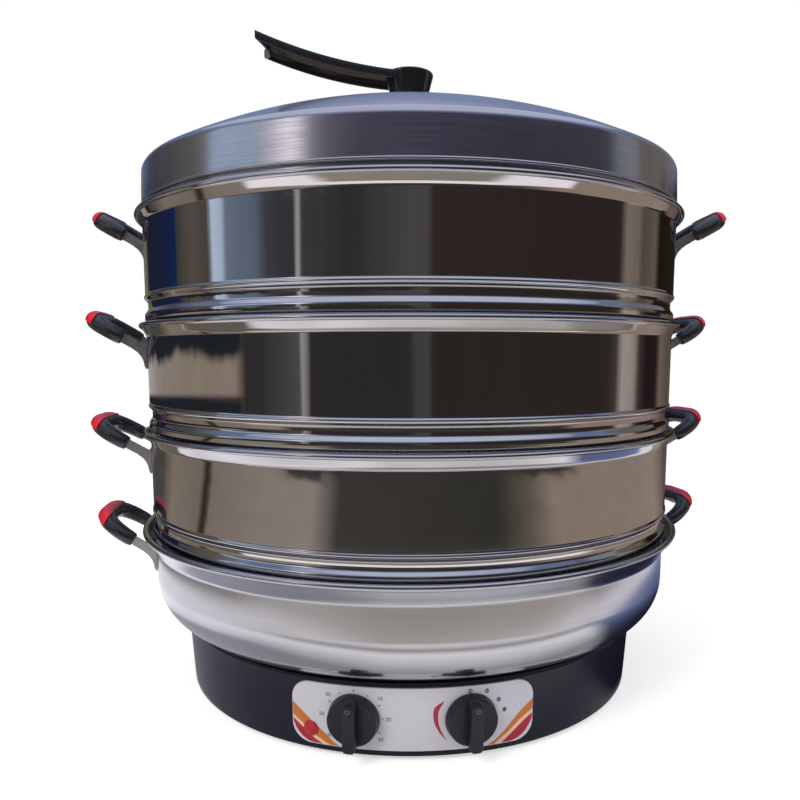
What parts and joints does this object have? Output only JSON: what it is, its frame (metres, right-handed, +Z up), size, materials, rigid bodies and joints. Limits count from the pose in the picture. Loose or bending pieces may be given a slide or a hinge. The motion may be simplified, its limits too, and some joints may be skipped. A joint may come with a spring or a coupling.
{
  "type": "electric food steamer",
  "caption": "Free-standing electric steamer: a heated pot on a base with timer and thermostat knobs, stacked steel steaming tiers with trays, side handles and a domed lid.",
  "frame": {"origin": "the floor under the rubber feet, on the axis of the pot", "axes": "+Z up along the axis of the pot; the control panel faces -Y; the side handles lie towards +X and -X"},
  "size_m": [0.4894, 0.417, 0.4903],
  "materials": {
    "mirror_steel": "polished",
    "brushed_steel": "brushed",
    "satin_steel": "satin",
    "tray_steel": "satin",
    "bracket_steel": "polished",
    "fastener_steel": "plain",
    "bakelite": "gloss",
    "grip_cap_red": "gloss",
    "base_paint": "satin",
    "panel_white": "printed",
    "knob_plastic": "matte",
    "lamp_red": "gloss",
    "brass": "plain",
    "rubber": "matte",
    "cast_aluminium": "cast",
    "phenolic": "matte",
    "wire": "matte"
  },
  "bodies": {
    "base": {"base_shell": "base_paint", "base_bottom_cover": "base_paint", "rubber_feet": "rubber", "cover_screws": "fastener_steel", "control_panel": "panel_white", "pilot_lamp_lens": "lamp_red", "pilot_lamp_body": "phenolic", "timer_body": "phenolic", "thermostat_body": "phenolic", "control_screws": "fastener_steel", "power_inlet": "phenolic", "inlet_pins": "brass", "internal_wiring": "wire", "heating_plate": "cast_aluminium", "heating_element": "fastener_steel", "thermal_cutout": "phenolic", "heat_shield": "tray_steel", "flange_studs": "fastener_steel", "plate_studs": "fastener_steel", "stud_nuts": "fastener_steel", "pot_shell": "satin_steel", "pot_left_bracket": "bracket_steel", "pot_right_bracket": "bracket_steel", "pot_left_grip": "bakelite", "pot_right_grip": "bakelite", "pot_grip_caps": "grip_cap_red", "pot_rivets": "fastener_steel"},
    "timer_control": {"timer_shaft": "brass", "timer_knob": "knob_plastic"},
    "thermostat_control": {"thermostat_shaft": "brass", "thermostat_knob": "knob_plastic"},
    "tier1": {"tier1_shell": "mirror_steel", "tier1_left_bracket": "bracket_steel", "tier1_right_bracket": "bracket_steel", "tier1_left_grip": "bakelite", "tier1_right_grip": "bakelite", "tier1_grip_caps": "grip_cap_red", "tier1_rivets": "fastener_steel"},
    "tray1": {"tier1_steam_tray": "tray_steel"},
    "tier2": {"tier2_shell": "mirror_steel", "tier2_left_bracket": "bracket_steel", "tier2_right_bracket": "bracket_steel", "tier2_left_grip": "bakelite", "tier2_right_grip": "bakelite", "tier2_grip_caps": "grip_cap_red", "tier2_rivets": "fastener_steel"},
    "tray2": {"tier2_steam_tray": "tray_steel"},
    "tier3": {"tier3_shell": "mirror_steel", "tier3_left_bracket": "bracket_steel", "tier3_right_bracket": "bracket_steel", "tier3_left_grip": "bakelite", "tier3_right_grip": "bakelite", "tier3_grip_caps": "grip_cap_red", "tier3_rivets": "fastener_steel"},
    "tray3": {"tier3_steam_tray": "tray_steel"},
    "lid": {"lid_dome": "brushed_steel", "lid_skirt": "brushed_steel", "lid_handle": "bakelite", "lid_handle_screw": "fastener_steel", "lid_washer": "fastener_steel"}
  },
  "joints": [
    {"name": "timer_turn", "type": "hinge", "parent": "base", "child": "timer_control", "pos_m": [-0.04041, -0.17093, 0.0285], "axis": [0.2296, 0.9712, 0.0644], "range_deg": [0, 300]},
    {"name": "thermostat_turn", "type": "hinge", "parent": "base", "child": "thermostat_control", "pos_m": [0.0308, -0.17292, 0.0285], "axis": [-0.175, 0.9825, 0.0644], "range_deg": [0, 270]},
    {"name": "tier1_lift", "type": "slide", "parent": "base", "child": "tier1", "axis": [0, 0, 1], "range_m": [0, 0.06]},
    {"name": "tray1_lift", "type": "slide", "parent": "tier1", "child": "tray1", "axis": [0, 0, 1], "range_m": [0, 0.045]},
    {"name": "tier2_lift", "type": "slide", "parent": "tier1", "child": "tier2", "axis": [0, 0, 1], "range_m": [0, 0.06]},
    {"name": "tray2_lift", "type": "slide", "parent": "tier2", "child": "tray2", "axis": [0, 0, 1], "range_m": [0, 0.045]},
    {"name": "tier3_lift", "type": "slide", "parent": "tier2", "child": "tier3", "axis": [0, 0, 1], "range_m": [0, 0.06]},
    {"name": "tray3_lift", "type": "slide", "parent": "tier3", "child": "tray3", "axis": [0, 0, 1], "range_m": [0, 0.045]},
    {"name": "lid_lift", "type": "slide", "parent": "tier3", "child": "lid", "axis": [0, 0, 1], "range_m": [0, 0.08]}
  ]
}
